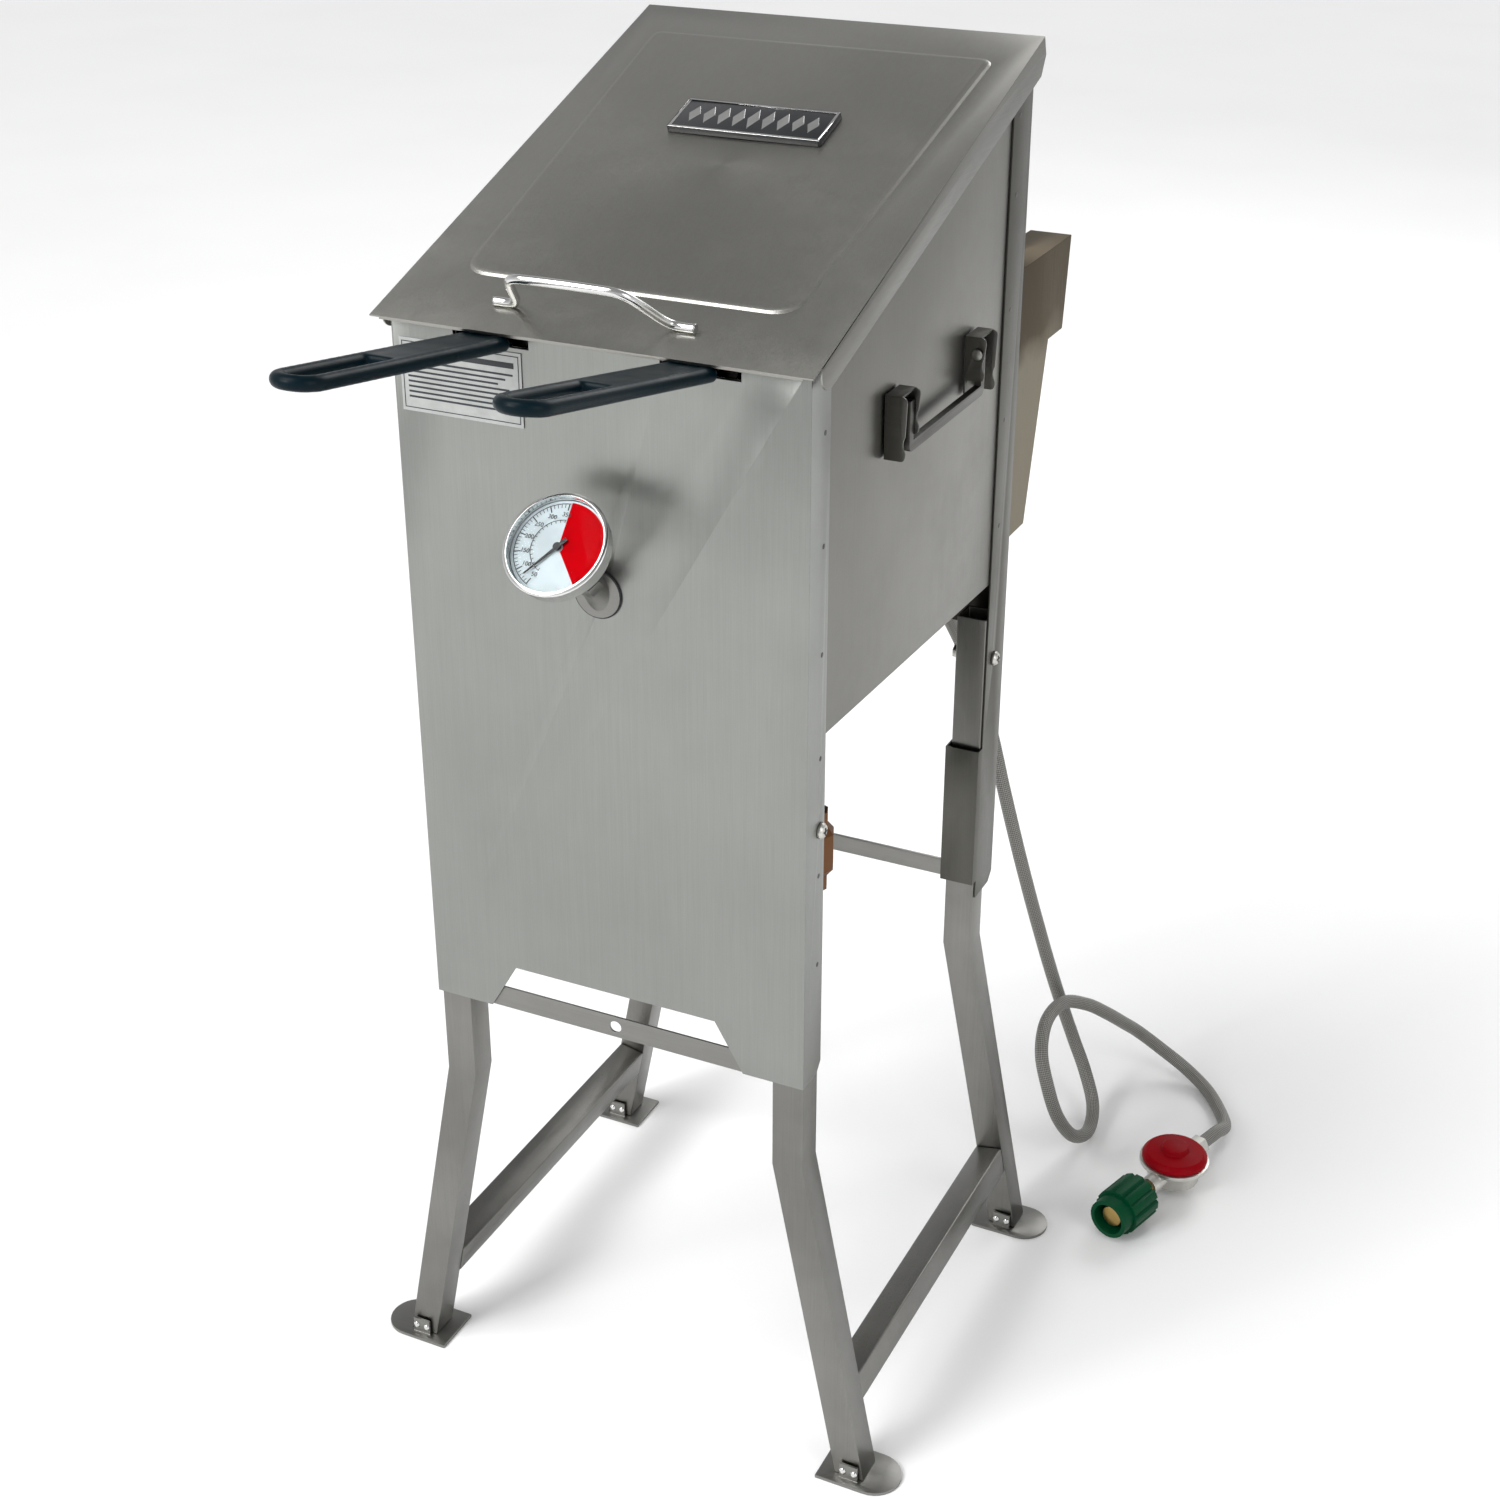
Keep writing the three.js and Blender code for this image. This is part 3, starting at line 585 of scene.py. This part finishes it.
def dipped_grip(side, sign):
    """A wire loop with a web near the pot, melted together and smoothed."""
    tilt = GRIP_TILT[side]
    forward = Vector((0, -math.cos(tilt), math.sin(tilt)))
    over = Vector((0, math.sin(tilt), math.cos(tilt)))
    start = at(sign * GRIP_X, -GRIP_START[0], GRIP_START[1])
    length = (GRIP_TIP - GRIP_START[0]) / math.cos(tilt) - 1.0

    def spot(x, along, out=0.0):
        return start + Vector((x * MM, 0, 0)) + forward * along * MM + over * out * MM

    middle = length - LOOP - WIRE
    line = [spot(-LOOP, WIRE)] + [spot(-LOOP, middle * i / 12) for i in range(1, 12)]
    for i in range(17):
        turn = math.pi * i / 16
        line.append(spot(-LOOP * math.cos(turn), middle + LOOP * math.sin(turn)))
    line += [spot(LOOP, middle * (12 - i) / 12) for i in range(1, 12)] + [spot(LOOP, WIRE)]
    mesh = tube(f"dipped_grip_{side}", line, WIRE * MM, 16)
    bm = bmesh.new()
    bm.from_mesh(mesh)
    web_end = middle - FINGER_HOLE
    corners = [(x, along) for along in (1.5, web_end) for x in (-LOOP, LOOP)]
    rows = [[bm.verts.new(spot(x, along, out)) for x, along in corners] for out in (-WEB_HALF, WEB_HALF)]
    low, high = rows
    for face in ((high[0], high[1], high[3], high[2]), (low[2], low[3], low[1], low[0])):
        bm.faces.new(face)
    for i, j in ((0, 1), (1, 3), (3, 2), (2, 0)):
        bm.faces.new((low[i], low[j], high[j], high[i]))
    bmesh.ops.recalc_face_normals(bm, faces=bm.faces)
    bm.to_mesh(mesh)
    bm.free()
    piece = new_object(f"dipped_grip_{side}", mesh, f"basket_{side}", grip_skin)
    skin = piece.modifiers.new("skin", "REMESH")
    skin.mode = "VOXEL"
    skin.voxel_size = 1.3 * MM
    skin.use_smooth_shade = True
    soften = piece.modifiers.new("soften", "SMOOTH")
    soften.iterations = 12
    soften.factor = 0.5
    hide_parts(f"basket_grip_{side}")


for side, sign in SIDES.items():
    dipped_grip(side, sign)


# Badge: a silver border and a plain pattern -----------------------------------------------------
BADGE_AT = on_lid(0, 280, 7.0)
border = [bar(-61, 61, 18, 20), bar(-61, 61, -20, -18), bar(-61, -59, -18, 18), bar(59, 61, -18, 18)]
lozenges = []
for step in range(-4, 5):
    x, tall = step * 12.0, 13.0 - 0.6 * abs(step)
    lozenges.append([(x - 4.6, 0), (x, -tall), (x + 4.6, 0), (x, tall)])
trim_mesh = prisms("badge_trim", border + lozenges, BADGE_AT, (1, 0, 0), UP_SLOPE, 0.4)
badge_trim = new_object("badge_trim", trim_mesh, "lid", chrome)
finish_edges(badge_trim, 0.1, 1)


# Label: a border, a red heading bar and ruled lines with no words --------------------------------
LABEL_X, LABEL_Z = (-154.0, -56.0), (858.0, 911.0)
label_middle = at(sum(LABEL_X) / 2, -1.05, sum(LABEL_Z) / 2)
wide, tall = (LABEL_X[1] - LABEL_X[0]) / 2, (LABEL_Z[1] - LABEL_Z[0]) / 2
rules = [bar(-wide + 2, wide - 2, tall - 3, tall - 2.4), bar(-wide + 2, wide - 2, -tall + 2.4, -tall + 3),
         bar(-wide + 2, -wide + 2.6, -tall + 3, tall - 3), bar(wide - 2.6, wide - 2, -tall + 3, tall - 3),
         bar(-10, wide - 6, 15, 19)]
for row in range(8):
    z = 9.5 - row * 3.7
    end = wide - 7 - (row * 7) % 5 * 3.0
    rules.append(bar(-wide + 6, end, z, z + 1.4))
heading = [bar(-wide + 4, -14, 13.5, 21)]
for name, outlines, material in (("label_print", rules, ink), ("label_heading", heading, label_red)):
    mesh = prisms(name, outlines, label_middle, (1, 0, 0), (0, 0, 1), 0.12)
    new_object(name, mesh, BODY, material)


# Painted shade: a thin black ring in the gap round the thermometer's seat ---------------------------
THERMOMETER_X = -2
THERMOMETER_Z = 746
SEAT_Z = THERMOMETER_Z - 1
SEAT_SHADE_RADIUS = 18.5
seat_turns = [2 * math.pi * i / 48 for i in range(48)]
seat_line = [at(THERMOMETER_X + SEAT_SHADE_RADIUS * math.cos(t), -0.6, SEAT_Z + SEAT_SHADE_RADIUS * math.sin(t))
             for t in seat_turns]
seat_shade_mesh = tube("seat_painted_shade", seat_line, 0.55 * MM, 8, closed=True)
new_object("seat_painted_shade", seat_shade_mesh, BODY, black_paint)


# Dial: red sector, ticks and numbers -------------------------------------------------------------
DIAL_TILT = math.radians(45)
STEM_AXIS = Vector((0, -math.sin(DIAL_TILT), math.cos(DIAL_TILT)))
DIAL_UP = Vector((0, math.cos(DIAL_TILT), math.sin(DIAL_TILT)))
DIAL_ACROSS = Vector((1, 0, 0))
FIRST_MARK, LAST_MARK = -155, -5
dial_face = at(THERMOMETER_X, 0, THERMOMETER_Z) + STEM_AXIS * 73.8 * MM


def sector(start, end, inner, outer, steps=28):
    """The outline of part of a ring, from start to end in degrees clockwise from the top."""
    turns = [math.radians(start + (end - start) * i / steps) for i in range(steps + 1)]
    outside = [(outer * math.sin(t), outer * math.cos(t)) for t in turns]
    inside = [(inner * math.sin(t), inner * math.cos(t)) for t in reversed(turns)]
    return outside + inside


def tick(degrees, inner, outer, width):
    """The outline of a short line that points at the dial's middle."""
    t = math.radians(degrees)
    along, across = (math.sin(t), math.cos(t)), (math.cos(t), -math.sin(t))
    corners = ((inner, -1), (outer, -1), (outer, 1), (inner, 1))
    return [(r * along[0] + s * width / 2 * across[0], r * along[1] + s * width / 2 * across[1])
            for r, s in corners]


red_zone = [sector(-2, 140, 3.5, 33.5)]
red_mesh = prisms("dial_red_zone", red_zone, dial_face, DIAL_ACROSS, DIAL_UP, 0.1)
new_object("dial_red_zone", red_mesh, BODY, dial_red)
marks = [tick(angle, 29.5 if index % 5 else 27.5, 32, 0.4 if index % 5 else 0.8)
         for index, angle in enumerate(range(FIRST_MARK, LAST_MARK + 1, 5))]
for inner, outer in ((32.2, 32.7), (20.2, 20.6)):
    marks.append(sector(FIRST_MARK - 2, LAST_MARK + 2, inner, outer))
marks += [tick(angle, 18.4, 20.2, 0.4) for angle in range(FIRST_MARK, LAST_MARK + 1, 10)]
marks_mesh = prisms("dial_marks", marks, dial_face + STEM_AXIS * 0.15 * MM, DIAL_ACROSS, DIAL_UP, 0.1)
new_object("dial_marks", marks_mesh, BODY, ink)


def dial_number(text, degrees, radius, size):
    """A number that stands upright on the dial."""
    curve = bpy.data.curves.new(f"number_{text}", "FONT")
    curve.body = text
    curve.size = size * MM
    curve.align_x = "CENTER"
    curve.align_y = "CENTER"
    curve.extrude = 0.05 * MM
    maker = bpy.data.objects.new(f"number_{text}", curve)
    scene.collection.objects.link(maker)
    bpy.context.view_layer.update()
    mesh = bpy.data.meshes.new_from_object(maker.evaluated_get(bpy.context.evaluated_depsgraph_get()))
    bpy.data.objects.remove(maker)
    t = math.radians(degrees)
    basis = Matrix((DIAL_ACROSS, DIAL_UP, STEM_AXIS)).transposed().to_4x4()
    away = DIAL_ACROSS * math.sin(t) + DIAL_UP * math.cos(t)
    spot = dial_face + away * radius * MM + STEM_AXIS * 0.2 * MM
    mesh.transform(Matrix.Translation(spot) @ basis)
    new_object(f"dial_number_{text}", mesh, BODY, ink)


for index, value in enumerate(range(50, 351, 50)):
    dial_number(str(value), FIRST_MARK + index * 25, 24.2, 4.6)


# Small hardware ---------------------------------------------------------------------------------
WELD_X = 160.02
FRONT_WELD_Y = 23
REAR_WELD_Y = 378
PIVOT_X, PIVOT_Z = 170.5, 863
RIVETS = ((151.1, 1), (277.9, -1))
BOLT_FACE_X = 164.75
FOOT_TAB_OUT = 16
# Painted shade: a flat black cross on each leg bolt's head stands for the shade in its cross recess.
CROSS_RECESS_SHADE = [bar(-3.0, 3.0, -0.6, 0.6), bar(-0.6, 0.6, -3.0, 3.0)]


def dome(name, place, axis, radius, height, material, body=BODY):
    """A low round head, radius and height in mm, on a face that looks along axis."""
    steps = 5
    profile = [(radius, 0)]
    for i in range(1, steps):
        turn = math.pi / 2 * i / steps
        profile.append((radius * math.cos(turn), height * math.sin(turn)))
    profile.append((0, height))
    return new_object(name, turned(name, profile, place, axis, 20), body, material)


for side, sign in SIDES.items():
    for number, height in enumerate((470, 545, 640, 720, 800, 880)):
        dome(f"front_weld_{side}_{number}", at(sign * WELD_X, FRONT_WELD_Y, height), (sign, 0, 0), 2.0, 0.35,
             steel_dark)
    for number, height in enumerate((690, 780, 870, 960, 1020)):
        dome(f"rear_weld_{side}_{number}", at(sign * WELD_X, REAR_WELD_Y, height), (sign, 0, 0), 2.0, 0.35,
             steel_dark)
    for number, (y, facing) in enumerate(RIVETS):
        dome(f"handle_rivet_{side}_{number}", at(sign * PIVOT_X, y, PIVOT_Z), (0, facing, 0), 4.4, 2.2,
             steel_plain, f"carry_handle_{side}")
    # Black crosses as painted shade in the leg bolts' recesses.
    for end, y, z in (("front", 24, 582), ("rear", 381, 570)):
        name = f"{end}_bolt_recess_shade_{side}"
        mesh = prisms(name, CROSS_RECESS_SHADE, at(sign * BOLT_FACE_X, y, z), (0, sign, 0), (0, 0, 1), 0.4)
        new_object(name, mesh, BODY, black_paint)
    for end, y in (("front", 16.5), ("rear", 375)):
        for number, x in enumerate((199, 209)):
            dome(f"{end}_foot_weld_{side}_{number}", at(sign * x, y - FOOT_TAB_OUT, 10), (0, -1, 0), 3.2, 1.6,
                 chrome)


# Baskets: woven wire in place of the plain boxes ------------------------------------------------
CELL = 12.5 * MM
BASKET_INSET = 1.2 * MM


def wire_basket(name, side):
    """Five sides of crossed wires and a thicker rim, inside the CAD basket's box."""
    low, high = (Vector(corner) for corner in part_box(f"basket_{side}"))
    inset = Vector((BASKET_INSET, BASKET_INSET, BASKET_INSET))
    low, high = low + inset, high - inset
    counts = [max(2, round((high[k] - low[k]) / CELL)) for k in range(3)]
    bm = bmesh.new()

    def sheet(origin, u, v, nu, nv):
        grid = [[bm.verts.new(origin + u * (i / nu) + v * (j / nv)) for j in range(nv + 1)]
                for i in range(nu + 1)]
        for i in range(nu):
            for j in range(nv):
                bm.faces.new((grid[i][j], grid[i + 1][j], grid[i + 1][j + 1], grid[i][j + 1]))

    x = Vector((high.x - low.x, 0, 0))
    y = Vector((0, high.y - low.y, 0))
    z = Vector((0, 0, high.z - low.z))
    sheet(low, x, y, counts[0], counts[1])
    for origin in (low, low + y):
        sheet(origin, x, z, counts[0], counts[2])
    for origin in (low, low + x):
        sheet(origin, y, z, counts[1], counts[2])
    bmesh.ops.remove_doubles(bm, verts=bm.verts, dist=0.0001)
    mesh = bpy.data.meshes.new(name)
    bm.to_mesh(mesh)
    bm.free()
    piece = new_object(name, mesh, f"basket_{side}", chrome)
    wires = piece.modifiers.new("wires", "WIREFRAME")
    wires.thickness = 1.8 * MM
    wires.use_even_offset = False
    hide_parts(f"basket_{side}")
    corners = ((low.x, low.y), (high.x, low.y), (high.x, high.y), (low.x, high.y))
    rim = [Vector((across, back, high.z)) for across, back in corners]
    around = []
    for a, b in zip(rim, rim[1:] + rim[:1]):
        around += [a.lerp(b, i / 8) for i in range(8)]
    rim_mesh = tube(f"{name}_rim", around, 2.2 * MM, 10, closed=True)
    new_object(f"{name}_rim", rim_mesh, f"basket_{side}", chrome)


for side in SIDES:
    wire_basket(f"wire_basket_{side}", side)


# Floor and light --------------------------------------------------------------------------------
def floor():
    mesh = bpy.data.meshes.new("floor")
    half = 14.0
    corners = [(-half, -half, 0), (half, -half, 0), (half, half, 0), (-half, half, 0)]
    mesh.from_pydata(corners, [], [(0, 1, 2, 3)])
    n = Nodes("floor")
    n.set(Roughness=0.75)
    n.link(n.ramp(n.noise(2.0, 2.0), [(0.3, 0.93), (0.7, 0.95)]), n.shader.inputs["Base Color"])
    piece = bpy.data.objects.new("floor", mesh)
    piece.data.materials.append(n.material)
    scene.collection.objects.link(piece)


def area_light(name, place, target, size, power):
    data = bpy.data.lights.new(name, "AREA")
    data.shape = "RECTANGLE"
    data.size, data.size_y = size
    data.energy = power
    lamp = bpy.data.objects.new(name, data)
    lamp.location = place
    lamp.rotation_euler = (Vector(target) - Vector(place)).to_track_quat("-Z", "Y").to_euler()
    scene.collection.objects.link(lamp)


def sky():
    """A soft studio sky, pale at the horizon and greyer overhead."""
    world = bpy.data.worlds.new("studio")
    scene.world = world
    world.use_nodes = True
    tree = world.node_tree
    coords = tree.nodes.new("ShaderNodeTexCoord")
    split = tree.nodes.new("ShaderNodeSeparateXYZ")
    ramp = tree.nodes.new("ShaderNodeValToRGB")
    tree.links.new(coords.outputs["Generated"], split.inputs[0])
    tree.links.new(split.outputs["Z"], ramp.inputs["Fac"])
    elements = ramp.color_ramp.elements
    elements[0].position, elements[0].color = 0.0, (0.95, 0.95, 0.96, 1)
    elements[1].position, elements[1].color = 0.75, (0.42, 0.42, 0.42, 1)
    background = tree.nodes["Background"]
    tree.links.new(ramp.outputs["Color"], background.inputs["Color"])
    background.inputs["Strength"].default_value = 0.8


floor()
sky()
area_light("key", (-2.1, -4.1, 2.9), (0, 0, 0.7), (1.6, 1.6), 110)
area_light("fill", (3.2, -1.2, 2.2), (0, 0, 0.6), (1.8, 2.4), 30)
area_light("back", (0.5, 3.4, 2.8), (0, 0, 0.8), (2.4, 1.6), 40)
sun = bpy.data.objects.new("sun", bpy.data.lights.new("sun", "SUN"))
sun.data.energy = 1.9
sun.data.angle = math.radians(40)
sun.rotation_euler = Euler((math.radians(38), 0, math.radians(-40)))
scene.collection.objects.link(sun)
scene.view_settings.view_transform = "Standard"
